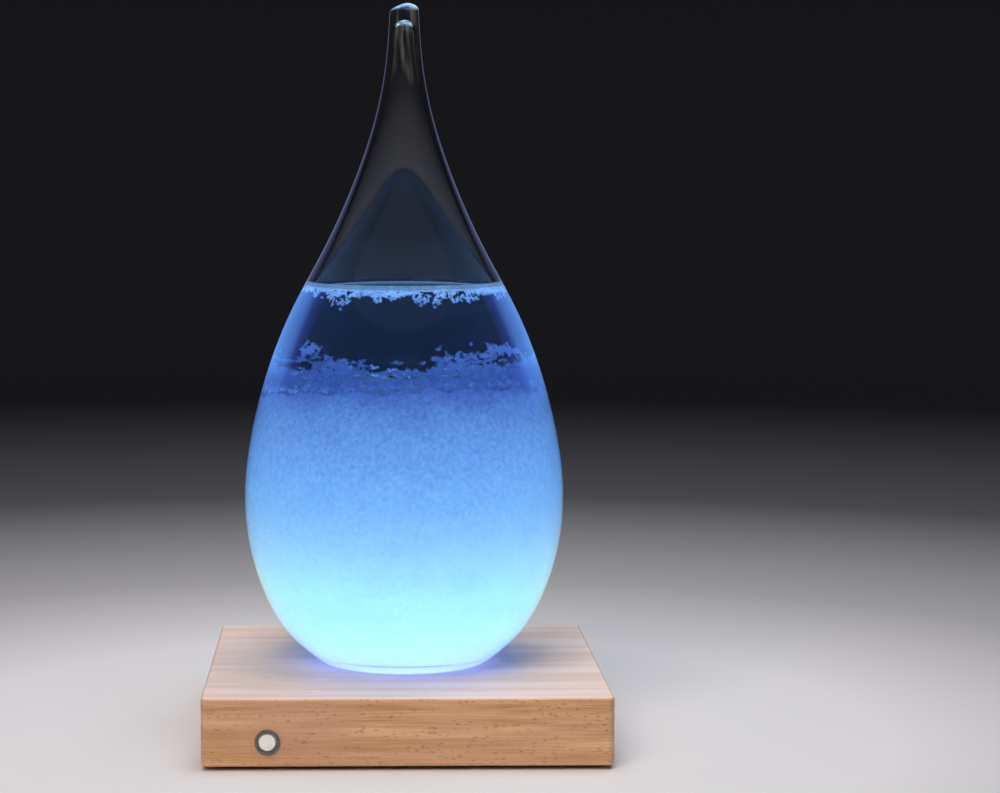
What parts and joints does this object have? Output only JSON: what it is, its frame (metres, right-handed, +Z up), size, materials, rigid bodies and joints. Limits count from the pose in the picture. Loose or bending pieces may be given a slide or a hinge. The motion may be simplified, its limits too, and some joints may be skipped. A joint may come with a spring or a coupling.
{
  "type": "storm glass",
  "caption": "Drop-shaped storm glass with clear liquid and feathery crystals, standing on a square beech base that lights it from below; push button on the front, battery door underneath.",
  "frame": {"origin": "middle of the base at the table, under its feet", "axes": "+Z up through the glass, button on the front facing -Y, +X to the right seen from the front"},
  "size_m": [0.12, 0.121, 0.2243],
  "materials": {
    "beech": "fine sanded, thin oil",
    "frosted_acrylic": "frosted",
    "white_abs": "satin moulded",
    "zinc_steel": "bright zinc",
    "white_board": "solder mask",
    "led_phosphor": "gloss",
    "black_abs": "fine texture",
    "rubber": "matt",
    "dark_nickel": "polished",
    "white_button": "satin",
    "black_nylon": "moulded",
    "white_nylon": "moulded",
    "spring_steel": "bright drawn",
    "tinned_brass": "tinned",
    "green_board": "solder mask",
    "black_epoxy": "moulded",
    "ceramic": "fired",
    "cell_jacket": "printed sleeve",
    "nickel_plate": "plated",
    "red_wire": "soft",
    "black_wire": "soft",
    "blown_glass": "fire polished",
    "silicone": "translucent",
    "camphor": "feathery",
    "solution": "clear"
  },
  "bodies": {
    "base": {"wood_block": "beech", "light_window": "frosted_acrylic", "reflector_cup": "white_abs", "ceiling_screws": "zinc_steel", "led_board": "white_board", "led_chips": "led_phosphor", "led_board_screws": "zinc_steel", "bottom_cover": "black_abs", "cover_screws": "zinc_steel", "rubber_feet": "rubber", "button_bezel": "dark_nickel", "switch_housing": "black_nylon", "return_spring": "spring_steel", "switch_pins": "tinned_brass", "control_board": "green_board", "control_chip": "black_epoxy", "board_passives": "ceramic", "board_spacers": "white_nylon", "control_board_screws": "zinc_steel", "battery_holder": "black_abs", "battery_cells": "cell_jacket", "contact_plates": "nickel_plate", "contact_springs": "spring_steel", "wire_battery_red": "red_wire", "wire_battery_black": "black_wire", "wire_led_red": "red_wire", "wire_led_black": "black_wire"},
    "button": {"button_cap": "white_button", "switch_plunger": "white_nylon"},
    "door": {"battery_door": "black_abs"},
    "glass": {"glass_drop": "blown_glass", "fill_plug": "silicone", "crystal_bed": "camphor", "crystal_crust": "camphor", "storm_liquid": "solution"}
  },
  "joints": [
    {"name": "button_press", "type": "slide", "parent": "base", "child": "button", "axis": [0, 1, 0], "range_m": [0, 0.0012], "stiffness_N_per_m": 400, "springref_m": -0.001, "deforming": ["return_spring"]},
    {"name": "door_hinge", "type": "hinge", "parent": "base", "child": "door", "pos_m": [0, 0.0197, 0.0019], "axis": [-1, 0, 0], "range_deg": [0, 85]},
    {"name": "glass_lift", "type": "slide", "parent": "base", "child": "glass", "axis": [0, 0, 1], "range_m": [0, 0.06]}
  ]
}
